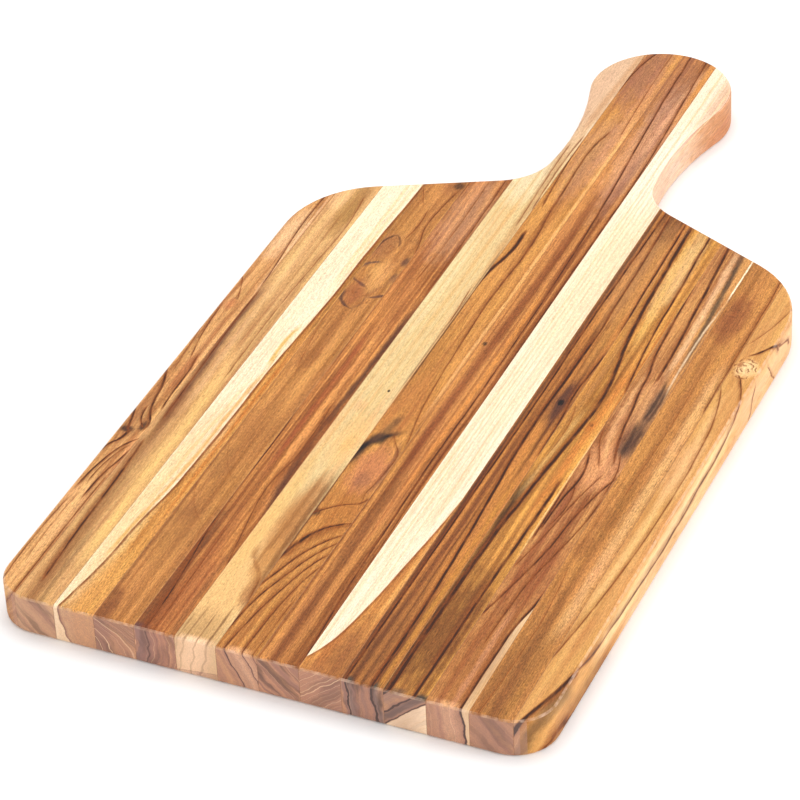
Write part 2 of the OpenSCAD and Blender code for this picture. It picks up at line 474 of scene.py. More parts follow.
def stave_06():
    wood = Wood("#e4c084", "#c48e50", lean=0.2, rings=0.12, streaky=0.9, sap_grain=0.7,
                sapwood="#d5b884", rays=0.1, murk=0)
    wood.border = Border([(104, 254), (104, -254)], -1, 0.6, 8)
    wood.lines = [
        Line([(-23.5, 156), (-23, 120), (-21, 80)], 0.6, 1.6, 0.5),
        Line([(-20, 165), (-20.5, 125), (-19.3, 95)], 0.7, 1.2, 0.55),
        Line([(-26, 190), (-25.5, 150), (-25, 110)], 0.4, 1.6, 0.3),
        Line([(-21, 24), (-20, 6), (-19.2, -6)], 0.6, 1.2, 0.5),
        Line([(-21, -206), (-19.5, -218), (-19, -230)], 0.7, 2, 0.55),
    ]
    wood.streaks = [
        Streak([(-23, 148), (-22, 110), (-20.5, 50)], 3.4, "#b4824e"),
        Streak([(-22, 172), (-21.5, 215), (-20, 250)], 3, "#b88458", 0.55),
        Streak([(-20.5, 60), (-20.3, 20), (-19.6, -20)], 2, "#c8925a", 0.5),
        Streak([(-19.6, 60), (-19.6, -60)], 0.8, "#5c3418", 0.55),
        Streak([(-35.5, 150), (-35, 60), (-35.5, -60), (-34, -150)], 1, "#cda468", 0.5),
        Streak([(-32, 100), (-31.5, 0), (-31, -120)], 0.8, "#cda468", 0.45),
        Streak([(-28.5, 140), (-28, 40), (-28.5, -90)], 1.3, "#c89c5c", 0.45),
        Streak([(-24.5, 60), (-24.5, -30), (-25, -120)], 1, "#cda468", 0.5),
        Streak([(-20.5, -130), (-20.5, -175), (-19.5, -215)], 2.4, "#74441e", 0.75),
        Streak([(-25.5, -130), (-26, -175), (-27.5, -195)], 1.8, "#8e5a2c"),
        Streak([(-31, -187), (-30, -193), (-25.7, -199.6), (-22.5, -203.5), (-20.8, -210),
                (-19.6, -219)], 2.4, "#986230", 0.7),
        near_end(-28.6, 12, "#f8cea8", 0.8),
        Streak([(-23, -228), (-23, -256)], 0.9, "#6c4424", 0.7),
        Streak([(-33, -232), (-33.5, -256)], 0.8, "#7c5430"),
        Streak([(-28, -236), (-28, -256)], 0.6, "#6c4424"),
        Streak([(-36.5, -238), (-36.5, -256)], 0.7, "#7c5430"),
    ]
    wood.knots = [Knot(-24, -64, 0.9, 1.2, 0.3, 0.9)]
    wood.clouds = [
        Cloud(-29, 208, 16, 76, "#d0aa8a", 0.95),
        Cloud(-16, 172, 4, 10, "#f3e2c8"),
        Cloud(-30, -208, 15, 52, "#deae70", 0.85),
        Cloud(-35, -160, 5, 42, "#dcae6a", 0.7),
        Cloud(-24.5, -166, 6.5, 34, "#a66a32", 0.85),
        Cloud(-21, -214, 3.6, 12, "#a0683a", 0.8),
        Cloud(-23, -194, 5, 15, "#bc8448", 0.8),
        Cloud(-32, -78, 2.5, 5, "#dca070", 0.45),
        Cloud(-25.5, -106, 3, 7, "#d8a25c", 0.5),
        Cloud(-35, 25, 4, 50, "#e0cea0", 0.5),
        Cloud(-31, 120, 9, 24, "#e2d0ac"),
        Cloud(-26, -105, 7, 20, "#e2b272", 0.5),
        Cloud(-30, -258, 14, 24, "#ac8252", 0.75),
    ]
    return wood


def stave_07():
    wood = Wood("#d39750", "#915726", lean=-0.5, rings=0.25, dashes=0.5, murk=0.15)
    wood.lines = [
        Line([(-12, 256), (-17, 235), (-18.5, 210)], 0.9, 2, 0.8),
        Line([(-9, 172), (-12, 155), (-12.3, 138), (-11.3, 118), (-10, 92), (-8.4, 74), (-8.1, 55),
              (-9, 30), (-9.3, 15), (-8.5, -5), (-7.5, -25)], 1.1, 2.2, 0.68),
        Line([(-8, -10), (-7.5, -25), (-6, -55), (-4.5, -72), (-2, -88), (0, -100)], 0.7, 1.6, 0.55),
        Line([(-19, 160), (-18, 125), (-16, 100)], 0.8, 1.8, 0.75),
        Line([(-15, 76), (-14.8, 62), (-16, 52), (-18, 42), (-19.5, 28)], 2, 2.2, 1),
        Line([(-6, 254), (-5, 215), (-3, 170)], 0.6, 1.4, 0.5),
        Line([(-8.5, -93), (-6, -98), (-1.2, -106), (-0.8, -118), (-2, -130), (-3, -138),
              (-1, -144)], 0.6, 2, 0.6),
        Line([(-19.5, -158), (-15, -153), (-9, -147.5), (-3, -145), (0, -140)], 1.2, 2.8, 0.75),
        Line([(-19.5, -190), (-17, -180), (-12, -168), (-6, -161.5), (0, -158)], 2, 6, 0.95, 1),
        Line([(-19.5, -212), (-16, -200), (-11, -184), (-5, -173), (0, -167)], 1.2, 2.6, 0.8),
        Line([(-19, -242), (-17, -222), (-12, -202), (-6, -184), (0, -173)], 1, 2.4, 0.8),
        Line([(-15.5, -256), (-13.5, -236), (-9, -210), (-5, -193), (0, -181)], 0.9, 2.2, 0.75),
        Line([(-7, -256), (-6, -232), (-3.5, -205), (0, -190)], 0.8, 2, 0.7),
        Line([(-2, -256), (-1.5, -232), (-1, -216)], 0.6, 1.4, 0.6),
    ]
    wood.streaks = [
        Streak([(-1.3, 180), (-1.2, 60), (-1.5, -70)], 1.3, "#e8b070", 0.7),
        Streak([(-19, 40), (-18.6, -60)], 0.8, "#442410", 0.75),
        near_end(-9, 9, "#f0bc90"),
        Streak([(-20, -119), (-18.5, -108), (-16, -101), (-12.5, -96.5), (-7.5, -91.5)],
               4.6, "#1c1414", 1),
        Streak([(-16, -102), (-13, -92), (-11.3, -80)], 3.4, "#5a3a28", 0.7),
        Streak([(-3, -100), (-1, -112), (-2, -134)], 1.6, "#6c4438"),
        Streak([(-19, -120), (-18.8, -185)], 0.9, "#4c2c18", 0.7),
    ]
    wood.clouds = [
        Cloud(-12, 228, 9, 34, "#94624c", 0.8),
        Cloud(-3, 190, 5, 60, "#cc9068", 0.5),
        Cloud(-10, 148, 9, 40, "#b88c70", 0.4),
        Cloud(-9, -72, 9, 24, "#a66434", 0.5),
        Cloud(-9, -152, 11, 22, "#9c5a28"),
        Cloud(-8, -121, 9, 18, "#bc7850", 0.75),
        Cloud(-8.6, -128.5, 3.5, 6, "#8e5c40"),
        Cloud(-14, -98.5, 3.6, 4.5, "#1c1414", 0.85),
        Cloud(-18.3, -156, 2.2, 3, "#3c2418", 0.85),
    ]
    return wood


def stave_08():
    wood = Wood("#c6864a", "#7c451e", lean=-1, rings=0.5, streaky=0.8, dashes=0.3, murk=0.7)
    wood.lines = [
        Line([(4, 256), (5.5, 215), (7, 185), (8.5, 160), (11.5, 110), (13, 80), (14, 50), (14.8, 10),
              (15, -110), (15.5, -150), (16.5, -190), (18, -225), (19.3, -252)], 1, 1.6, 0.8),
        Line([(13, 254), (15, 215), (17, 180), (18.2, 150), (18.6, 60), (18.8, -60)], 0.9, 2.2, 0.8),
        Line([(17.5, -60), (17.8, -130), (18.8, -190)], 0.7, 1.2, 0.7),
    ]
    wood.streaks = [
        Streak([(5, 120), (6, 30), (5.5, -60), (6, -120)], 3.4, "#7c3e1c", 0.65),
        Streak([(12, 30), (12, -60), (11.5, -130)], 1.8, "#d48a44", 0.65),
        Streak([(15, 238), (13.5, 200), (13, 160)], 2.4, "#dca47c"),
        Streak([(1.2, -10), (1.5, -100), (2, -254)], 1.4, "#d0904c", 0.7),
        Streak([(7, -120), (7, -200), (6.5, -256)], 3.6, "#6e3a1a", 0.75),
        Streak([(9.5, 40), (10, -80), (10.5, -180)], 0.9, "#8a4a22", 0.5),
    ]
    wood.knots = [Knot(2, -15, 1.2, 2.2, 0.6, 0.85)]
    wood.clouds = [
        Cloud(6, 222, 8, 40, "#8c5c48", 0.55),
        Cloud(11, 165, 9, 60, "#cc9c80", 0.45),
        Cloud(10, -52, 10, 42, "#cc8a50", 0.35),
    ]
    return wood


def stave_09():
    wood = Wood("#d3924e", "#99592a", lean=1.25, rings=0.25, sapwood="#f2dcc0", sap_grain=0.6, rays=0.7)
    wood.border = Border(
        [(41, 120), (44, 0), (41, -95), (38, -125), (36, -150), (33.5, -172), (30, -205), (27, -224),
         (23, -238), (19, -246)], -1, 0.4, 5)
    wood.streaks = [
        Streak([(24, 250), (24.5, 60), (24, -180)], 0.9, "#e2c090", 0.7),
        Streak([(28, 240), (28.5, 60), (29, -190)], 0.7, "#e2c090"),
        Streak([(33, 230), (33, 60), (33, -150)], 1.1, "#e6c8a0", 0.7),
        Streak([(21, 200), (21.3, 60), (21, -220)], 0.6, "#e6c8a0", 0.5),
        Streak([(26.2, 150), (26.5, 0), (26, -150)], 0.7, "#dcb88c"),
        Streak([(30.8, 140), (31, 20), (31.5, -140)], 0.8, "#dcb88c", 0.55),
        Streak([(35.5, 120), (35.2, 10), (35, -120)], 0.8, "#dcb88c", 0.55),
        Streak([(38, -130), (37.5, -175), (36.5, -210)], 2, "#e0a45e"),
    ]
    wood.clouds = [
        Cloud(25, 228, 9, 60, "#ecd2ba", 0.45),
        Cloud(28, 148, 10, 42, "#f4e2d4", 0.5),
        Cloud(38, 205, 10, 85, "#bc8262"),
        Cloud(30, 50, 10, 60, "#e6cca4", 0.45),
        Cloud(34, -250, 6.5, 34, "#84502c", 0.75),
        Cloud(25, -255, 6, 8, "#a0683a", 0.7),
    ]
    return wood


def stave_10():
    wood = Wood("#c07e3e", "#663818", lean=-0.1, rings=0.5, streaky=0.8, dashes=0.3, rays=0.15, murk=0.9)
    wood.lines = [
        Line([(45, 115), (46, 90), (47, 60), (47.5, 30), (48.3, 12), (48, 0)], 1.1, 2, 0.7),
        Line([(48.2, 8), (47.8, -15), (47, -60), (47.5, -90), (49, -115), (50.3, -145), (51.3, -175),
              (52, -210), (52, -256)], 1.5, 2.2, 1),
        Line([(54, 110), (55.3, 85), (56, 50), (57.3, 15)], 1.1, 1.8, 0.9),
        Line([(42, 118), (41.5, 60), (41, 0), (41.5, -60), (41, -120), (40.3, -256)], 1.1, 1.8, 0.9),
        Line([(57.5, -2), (56, -22), (55.3, -38), (56.5, -55), (57.3, -85)], 1.2, 2, 0.85),
    ]
    wood.streaks = [
        Streak([(39, 118), (39.5, 0), (39, -254)], 1.6, "#4a261a", 0.8),
        Streak([(51.5, 90), (52.5, 30), (52, -20)], 3, "#bc8444", 0.65),
        Streak([(44, -50), (44.5, -120), (45, -200)], 2.6, "#7c4424", 0.5),
        Streak([(54.8, -110), (55, -180), (55, -254)], 2, "#bc8038", 0.75),
        Streak([(57.3, -170), (57.2, -256)], 0.6, "#c8924c"),
        Streak([(51.8, -30), (51.5, -45), (52.3, -60)], 2.2, "#4c2c24", 0.8),
        near_end(41, 3, "#333c3a", 0.85),
        near_end(53, 3.4, "#333c3a", 0.85),
    ]
    wood.knots = [Knot(51.8, -45, 1.9, 3, 1, 1)]
    wood.clouds = [
        Cloud(52, -46, 5.5, 17, "#563024", 0.7),
        Cloud(48, 62, 11, 42, "#cc9660", 0.4),
        Cloud(48, -232, 10, 40, "#6c4024", 0.5),
    ]
    return wood


def stave_11():
    wood = Wood("#dc9e4e", "#84501f", lean=1.2, streaky=0.6, rays=0, murk=0.45)
    wood.border = Border([(84, 254), (84, -80), (79, -254)], 1, 0.9)
    wood.lines = [
        Line([(58, 108), (58.8, 80), (60, 55), (61.3, 30), (63.5, 5), (66, -12), (67.8, -28),
              (68.2, -42), (67.3, -58), (65.8, -78), (63.8, -100), (62.5, -120), (61, -138),
              (60, -165), (59.7, -200), (59.8, -256)], 2, 2.6, 0.95),
        Line([(69, 104), (69.5, 80), (71, 50), (72, 20), (73.5, 0), (76, -28)], 1.1, 2, 0.85),
        Line([(73.3, -98), (73.3, -118), (72.7, -145), (71.8, -175), (71.3, -210), (71, -256)],
             1.6, 2.4, 0.95),
        Line([(58.5, -44), (61, -58), (60.5, -84)], 0.5, 1.6, 0.5),
    ]
    wood.streaks = [
        Streak([(59.5, -100), (58.8, -160), (58.6, -254)], 3, "#38200e", 0.9),
        Streak([(59, 30), (61, -10), (59.5, -60)], 2.4, "#a06c3c", 0.65),
        Streak([(62, 90), (64.5, 45), (67, 10)], 2.8, "#deb264"),
        Streak([(63.5, -50), (61.5, -85), (60, -112)], 2, "#cea468", 0.5),
        Streak([(72, -10), (71.5, -60), (70.5, -120)], 3, "#b86a2c", 0.65),
        Streak([(75, 40), (75.3, -10), (75.3, -50)], 0.8, "#a85c28"),
        Streak([(75.6, -62), (75.7, -100), (75.7, -150)], 0.6, "#eec088", 0.7),
        near_end(63, 7, "#4c4440"),
        near_end(74, 6.4, "#33302e", 0.95),
    ]
    wood.knots = [Knot(70.5, -56, 1, 1.6, 0.4, 0.5)]
    wood.clouds = [
        Cloud(66.5, -212, 11, 46, "#633416", 0.85),
        Cloud(70, -57, 2.5, 4, "#a85a24"),
        Cloud(65.5, 70, 5, 40, "#e8c48c", 0.5),
    ]
    return wood


def stave_12():
    wood = Wood("#d3995b", "#814725", lean=-0.1, sapwood="#dfbf96", rings=0.4, streaky=0.7,
                dashes=1, rays=0.6, murk=0.15)
    wood.border = Border([(97, -165), (95, -183), (92.8, -196), (92, -215), (92, -256)], 1, 0.9)
    wood.lines = [
        Line([(80.5, 100), (82, 75), (83.7, 45), (85.3, 20), (86.5, -14)], 1.5, 1.6, 0.9),
        Line([(76, 62), (77.5, 30), (79.3, 0), (81, -10.5), (82, -25), (84, -39), (85.2, -52),
              (87.8, -67.5), (90.3, -78)], 1.3, 2.4, 0.82),
        Line([(76.8, -54), (79.2, -67), (82.3, -75), (85, -83)], 0.8, 2.4, 0.6),
        Line([(95.2, -89), (90.6, -107), (87.8, -124), (86, -145), (83, -162), (80, -177), (76, -196)],
             1.1, 2, 0.8),
        Line([(95, -106), (93, -130), (90, -148), (87, -165), (85.3, -185), (84.5, -212)], 0.9, 1.8, 0.7),
        Line([(89, -88), (84, -112), (81, -135), (77, -160)], 0.8, 1.8, 0.65),
        Line([(78, -76), (80.5, -92), (78.5, -110), (77.5, -132)], 1.2, 1.6, 0.9),
        Line([(79, -96), (82, -110), (80, -130)], 0.7, 1.4, 0.7),
        Line([(76.6, -100), (76.8, -140)], 0.9, 1.4, 0.9),
        Line([(91, -72), (94, -84), (94.5, -100)], 0.6, 1.2, 0.7),
    ]
    wood.streaks = [
        Streak([(85.5, 94), (87, 60), (88.5, 20), (89, -6)], 2.6, "#e2b488", 0.75),
        Streak([(88.5, 94), (90, 72), (91, 50), (92.5, 26), (93, 0)], 2.2, "#3c3028", 0.85),
        Streak([(94.6, 94), (94.6, 58)], 0.6, "#fdeed4", 0.9),
        Streak([(94, 46), (93, 20), (93.5, -20)], 0.8, "#e8cca8", 0.7),
        Streak([(80.5, -10), (80, -40), (82, -62), (86, -78)], 2.2, "#daa470", 0.7),
        Streak([(86.5, -2), (87.5, -30), (89, -50)], 1.6, "#d09866"),
        Streak([(90.6, -14), (91.4, -30), (91, -46)], 1.3, "#3c261e", 0.8),
        Streak([(93, -22), (93.6, -34), (93.2, -46)], 1, "#43291e", 0.7),
        Streak([(89.4, -48), (90.6, -60), (91.4, -73)], 1.8, "#3c261e", 0.8),
        Streak([(93.4, -52), (93.2, -66)], 1.2, "#43291e", 0.7),
        Streak([(87, -190), (87.5, -256)], 2.2, "#c08460", 0.65),
        near_end(85, 9, "#eab488", 0.5),
        Streak([(82, -190), (81.5, -256)], 1.6, "#8a4c28", 0.5),
    ]
    wood.clouds = [
        Cloud(86, -38, 9, 22, "#dca474", 0.35),
        Cloud(86, -82, 9, 20, "#d8986a", 0.7),
        Cloud(86, -162, 11, 28, "#8c4c2a", 0.65),
        Cloud(91, -48, 5, 34, "#8e6044", 0.5),
        Cloud(92, -34, 2.8, 17, "#5e4438", 0.75),
        Cloud(92, -61, 5, 14, "#543a2c", 0.8),
        Cloud(80, -116, 6, 26, "#8c4a30"),
        Cloud(83, -226, 12, 48, "#8e5228", 0.75),
    ]
    return wood


def stave_13():
    wood = Wood("#c98c4c", "#845022", lean=-0.8, rings=0.2, streaky=0.4, dashes=0.5, grain=1.15,
                rays=0.1, murk=0.35)
    wood.lines = [
        Line([(112, 84), (113.2, 62), (113.6, 40), (113.9, 0), (113.8, -30)], 0.7, 2.6, 0.65),
        Line([(103, 10), (104, -40), (103, -100)], 0.5, 1.8, 0.4),
        Line([(109, -10), (109, -60), (108.5, -110)], 0.4, 1.4, 0.3),
        Line([(99, -155), (101, -190), (99, -254)], 0.6, 3, 0.45),
    ]
    wood.streaks = [
        Streak([(111, 0), (111, -80), (111, -150), (110, -195)], 4.6, "#e8b67c", 0.55),
        Streak([(104, -165), (104, -256)], 3, "#7c4a24", 0.55),
        Streak([(110, -196), (109.5, -256)], 2.4, "#a8743a", 0.5),
    ]
    wood.knots = [Knot(110.5, -154, 1.8, 5, 0.8)]
    wood.clouds = [
        Cloud(102, 42, 7, 20, "#7c4024", 0.75),
        Cloud(102, -118, 5, 9, "#7c451f", 0.4),
        Cloud(100, -138, 4, 10, "#7c451f", 0.5),
        Cloud(110.5, -153, 1.8, 6, "#b0643c"),
        Cloud(104, -230, 10, 44, "#84542a", 0.65),
    ]
    return wood


def stave_14():
    wood = Wood("#dcaa68", "#a86b34", lean=0.5, rings=0.12, streaky=0.25, grain=0.6)
    wood.lines = [
        Line([(129, 34), (124, 25), (119, 18.5)], 1.6, 2.4, 0.95, 1),
        Line([(126, 70), (123, 50), (119, 36), (114, 24)], 0.5, 1.6, 0.5),
        Line([(116, -256), (119, -246), (122, -236), (127, -215)], 2.2, 3.4, 1, 1),
        Line([(125, -222), (127, -215), (130.2, -173), (132, -140), (132.5, -115), (132, -73),
              (131.5, -50), (130, -32), (127, -17), (122, -3), (118, 3.5), (114, 4)], 0.8, 2.2, 0.75),
        Line([(114.5, -8), (118, -20), (121, -38), (122.3, -60), (122.8, -80), (122.3, -120),
              (121, -145), (118.5, -175), (114, -212)], 0.8, 2.4, 0.58),
        Line([(133, -258), (134, -235), (136.5, -205), (137, -180)], 1.1, 3, 0.7),
        Line([(129, 3), (132, -1), (135.5, -7)], 1, 2, 0.7),
        Line([(129, 19), (132, 23), (135.5, 29)], 0.8, 1.8, 0.65),
        Line([(127, 27), (129.5, 38), (132, 50)], 0.8, 1.8, 0.65),
    ]
    wood.streaks = [
        Streak([(118, -20), (119, -70), (118.5, -130), (116, -175)], 3.2, "#e8bc80", 0.55),
        Streak([(125.3, -20), (125.8, -90), (125.3, -180)], 2.8, "#c48c52", 0.7),
        # The three pale streaks below lie on the right side face: partly paler wood, partly painted light
        # where that side faces the lamp on the right.
        Streak([(131, -190), (131, -100), (130, -25)], 4.2, "#f0d2a0", 0.75),
        Streak([(131, -20), (131, 80)], 5, "#ecc49c"),
        Streak([(137.5, -165), (137.5, -60), (137.5, 80)], 5.5, "#e6c29c", 0.75),
        Streak([(136.5, -262), (137, -230), (137, -180)], 6, "#8e6440", 0.85),
        Streak([(123, -258), (127, -232), (129, -222)], 5, "#6c4c2c", 0.8),
    ]
    wood.knots = [Knot(120, 8, 3.6, 6, 1.4)]
    wood.burls = [Burl(120, 8, 5.5, 8, 0.85)]
    wood.clouds = [
        Cloud(124, -72, 11, 24, "#ecbe88", 0.4),
        Cloud(121, 8, 5, 7, "#f2d09c", 0.8),
        Cloud(117, 10, 1.4, 2.2, "#a06438", 0.8),
    ]
    return wood


STAVES = [
    stave_01, stave_02, stave_03, stave_04, stave_05, stave_06, stave_07,
    stave_08, stave_09, stave_10, stave_11, stave_12, stave_13, stave_14,
]


# Patterns that repeat in all teak
WIDE_WOBBLES = Pattern(30, 90, 30, detail=1)
FINE_WOBBLES = Pattern(7, 18, 7)
INNER_WOBBLES = Pattern(6, 60, 6)
BANDS = Pattern(3, 190, roughness=0.6)
TIDES = Pattern(13, 60)
TINTS = Pattern(5, 45, detail=3, roughness=0.6)
UNEVEN = Pattern(2, 11, detail=3)
FIBRES = Pattern(0.5, 34, 1.2, detail=3, roughness=0.65)
HAIRS = Pattern(0.5, 11, 0.9, roughness=0.6)
SPLINTERS = Pattern(0.32, 6, 0.6, detail=1)
FLECKS = Pattern(0.42, 1.5, 0.6, detail=1)
THREADS = Pattern(2, 320, 4, roughness=0.6)
DASHES = Pattern(0.7, 5, 2, detail=1)
DASHED_PLACES = Pattern(8, 30, 8, detail=1)
PORES = Pattern(0.22, 4.5, 0.22, detail=1)
PATCHES = Pattern(4, 9, 4)
MURK = Pattern(4, 30, 14)
# Where the eased edges are paler, from rubbed wear and a painted highlight
EDGE_WEAR_AND_HIGHLIGHT_PLACES = Pattern(3, 3, 3)


class Teak(Graph):
    """Oiled teak with the figure that one stave shows. Its patterns run from -0.5 to 0.5, and
    what it finds out about a point is a share from 0 to 1 or a length in millimetres."""

    def __init__(self, name, wood, seed):
        super().__init__(name)
        self.wood = wood
        self.seed = seed
        self.find_place()
        self.find_facing()
        self.grow()
        self.find_patterns()
        self.find_rings()
        self.find_sapwood()
        self.find_lines()

    def find_place(self):
        """Distances across and along the board, and down from its top face."""
        where = self.add("ShaderNodeTexCoord")
        x, y, z = (part / MM for part in self.split(where.outputs["Object"]))
        self.x = x
        self.y = y
        self.depth = THICKNESS - z

    def find_facing(self):
        """Where the surface is cut end grain, where it is level and where it is an eased edge."""
        geometry = self.add("ShaderNodeNewGeometry")
        x, y, z = (abs(part) for part in self.split(geometry.outputs["Normal"]))
        self.end = self.smooth(y, 0.75, 0.95)
        self.level = self.smooth(z, 0.3, 0.9)
        self.rim = self.smooth(z, 0.15, 0.5) * self.smooth(z, 0.98, 0.8)

    def grow(self):
        """Finds where on the top face a point's growth line comes up. It wobbles, leans the way
        the stave was sawn and goes round the knots."""
        x = self.x
        wide = self.cloudy(x, WIDE_WOBBLES, self.seed)
        fine = self.cloudy(x, FINE_WOBBLES, self.seed)
        inner = self.cloudy(x, INNER_WOBBLES, self.seed)
        self.x = x + wide * WIDE_WOBBLE + fine * FINE_WOBBLE
        ring = self.x + self.depth * self.wood.lean + self.depth * self.depth * self.wood.bend
        ring = ring + inner * self.smooth(self.depth, 0, INNER_WOBBLE_DEPTH) * INNER_WOBBLE
        for knot in self.wood.knots:
            aside = (x - knot.x) / knot.wide
            swell = self.math("POWER", math.e, self.round_distance(knot) * -1)
            ring = ring - aside * swell * knot.push
        self.ring = ring

    def cloudy(self, across, pattern, shift):
        """A pattern that has a size down."""
        return self.noise(
            across / pattern.wide + shift, self.y / pattern.long, self.depth / pattern.deep,
            pattern.detail, pattern.roughness)

    def layered(self, pattern, shift, layer):
        """A pattern that goes down as the growth lines do."""
        return self.noise(
            self.ring / pattern.wide + shift, self.y / pattern.long, layer,
            pattern.detail, pattern.roughness)

    def find_patterns(self):
        """What repeats all through the wood, drawn out along the stave."""
        ring = self.ring
        seed = self.seed
        self.bands = self.layered(BANDS, seed, seed)
        self.tides = self.layered(TIDES, seed, seed + 5)
        self.fibres = self.cloudy(ring, FIBRES, 0)
        self.hairs = self.cloudy(ring, HAIRS, seed)
        self.pores = self.smooth(self.cloudy(ring, PORES, 0), 0.1, 0.22)
        self.ragged = self.fibres * 1.2 + self.cloudy(self.x, PATCHES, seed) * 1.4

    def find_rings(self):
        """The late wood of each year, which darkens outward and ends sharply, and its start."""
        turns = self.ring / RING_SPACING + self.bands * 1.4 + self.seed
        within = self.math("FRACT", turns)
        strength = self.chance(self.math("FLOOR", turns))
        self.late = self.math("POWER", within, 5) * self.smooth(within, 1, 0.94) * strength
        self.year_start = self.smooth(within, 0.12, 0.02) * strength

    def find_sapwood(self):
        """Where the pale sapwood is, and how dark the line along its border is."""
        self.sap = 0.0
        self.border_line = []
        border = self.wood.border
        if border:
            offset = self.ring + self.depth * border.lean - self.course(self.y, border.path)
            offset = offset * border.side
            self.sap = self.smooth(offset, -0.3, 0.4)
            line = self.smooth(offset, -2, -0.3) * self.smooth(offset, 0.4, -0.2)
            self.border_line = [line * border.line]
        self.calm = 1.0 - self.sap * SAPWOOD_CALM

    def find_lines(self):
        """How dark all the growth lines are together, unevenly along their way."""
        masks = [self.line_mask(line) for line in self.wood.lines] + self.border_line
        masks += [self.burl_mask(burl) for burl in self.wood.burls]
        strongest = masks[0]
        for mask in masks[1:]:
            strongest = self.math("MAXIMUM", strongest, mask)
        uneven = self.layered(UNEVEN, 0, self.seed)
        uneven = self.smooth(uneven, -0.2, 0.12) * 0.35 + 0.65
        self.darkness = strongest * uneven + self.hairs * 0.2 - 0.02

    def line_mask(self, line):
        """How dark a growth line is: a sharp dark core, and a browner halo on its soft side."""
        smooth = self.smooth
        offset = (self.ring - self.course(self.y, line.path)) * line.side
        core = smooth(offset, -0.6 * line.width, 0) * smooth(offset, 1.1 * line.width, 0.2 * line.width)
        halo = smooth(offset, 1.5 * line.soft, 0) * smooth(offset, -0.5 * line.soft, 0)
        mask = self.math("MAXIMUM", core, halo * 0.55)
        return mask * line.strength * self.between_ends(line.path, LINE_FADE)

    def burl_mask(self, burl):
        """How dark a burl's curls are: warped ovals, one in another, that fade in places."""
        warps = Pattern(0.85 * burl.wide, 0.5 * burl.long, 8)
        patches = Pattern(0.6 * burl.wide, 0.3 * burl.long, 6, detail=1)
        warp = self.cloudy(self.x, warps, self.seed)
        shown = self.smooth(self.cloudy(self.x, patches, -self.seed), -0.12, 0.1)
        turn = self.math("SQRT", self.round_distance(burl)) * BURL_TURNS + warp * 2.6
        within = self.math("FRACT", turn)
        curl = self.math("POWER", within, 2.2) * self.smooth(within, 1, 0.9)
        curl = curl * self.smooth(turn, BURL_TURNS + 0.2, BURL_TURNS - 0.1)
        return curl * shown * burl.strength

    def round_distance(self, spot):
        """Square of the distance from a spot, 1 on its oval outline."""
        aside = (self.x - spot.x) / spot.wide
        along = (self.y - spot.y) / spot.long
        return aside * aside + along * along

    def between_ends(self, path, fade):
        """1 between the two ends of a path and 0 beyond them, or 1 at an end off the board."""
        start = min(y for x, y in path)
        end = max(y for x, y in path)
        fade = min(fade, (end - start) / 3)
        inside = 1.0
        if start > -HALF_LENGTH:
            inside = self.smooth(self.y, start - fade / 2, start + fade / 2)
        if end < HALF_LENGTH:
            inside = self.smooth(self.y, end + fade / 2, end - fade / 2) * inside
        return inside

    def heartwood(self):
        """From the light to the dark tone of the stave's own heartwood."""
        streaky = self.wood.streaky
        shade = (self.smooth(self.bands, -0.25, 0.25) - 0.5) * (2.0 * streaky)
        shade = shade + self.tides * 0.9 + self.hairs * 0.25
        shade = shade + self.fibres * (1.3 * streaky + 0.3)
        shade = shade + self.late * (1.6 * self.wood.rings)
        shade = self.smooth(shade, -0.85, 1)
        return self.blend(shade, tone(self.wood.light), tone(self.wood.dark))

    def add_sapwood(self, colour):
        """Pale wood with darker threads, beyond the border."""
        if not self.wood.border:
            return colour
        shade = self.cloudy(self.ring, THREADS, 0) * 1.6 + self.bands * 0.8 + self.tides * 0.8
        shade = self.smooth(shade * (2 * self.wood.streaky), -0.15, 0.9)
        pale = self.blend(shade, tone(self.wood.sapwood), tone(PALE_FLECK))
        return self.blend(self.sap, colour, pale)

    def add_clouds(self, colour):
        """Soft patches of other colours."""
        for cloud in self.wood.clouds:
            distance = self.round_distance(cloud) + self.ragged * self.calm
            spread = self.smooth(distance, CLOUD_REACH, 0)
            colour = self.blend(spread * cloud.strength, colour, tone(cloud.colour))
        return colour

    def add_streaks(self, colour):
        """Soft streaks of other colours, with ragged sides."""
        for streak in self.wood.streaks:
            ragged = self.ragged * min(0.6 * streak.wide, MOST_RAGGED)
            aside = abs(self.ring - self.course(self.y, streak.path)) + ragged
            spread = self.smooth(aside, streak.wide, 0.1 * streak.wide) * streak.strength
            spread = spread * self.between_ends(streak.path, STREAK_FADE)
            colour = self.blend(spread, colour, tone(streak.colour))
        return colour

    def add_lines(self, colour):
        """Growth lines, brown where they are faint and nearly black where they are strong."""
        halo = self.smooth(self.darkness, 0, 0.5) * 0.85
        core = self.smooth(self.darkness, 0.38, 0.88) * 0.93
        colour = self.blend(halo, colour, tone(LINE_HALO))
        return self.blend(core, colour, tone(LINE_CORE))

    def add_dark_knots(self, colour):
        """The black middles of knots."""
        for knot in self.wood.knots:
            if knot.dark:
                distance = self.round_distance(knot) + self.hairs * 1.6
                middle = self.smooth(distance, 1.1, 0.1) * knot.dark
                colour = self.blend(middle, colour, tone(BLACK_KNOT))
        return colour

    def add_tint(self, colour):
        """The wood wanders between a golden and a ruddy tint."""
        tint = self.layered(TINTS, -self.seed, self.seed)
        tint = self.blend(self.smooth(tint, -0.2, 0.2), GOLDEN, RUDDY)
        return self.blend(self.calm * 0.8, colour, tint, "MULTIPLY")

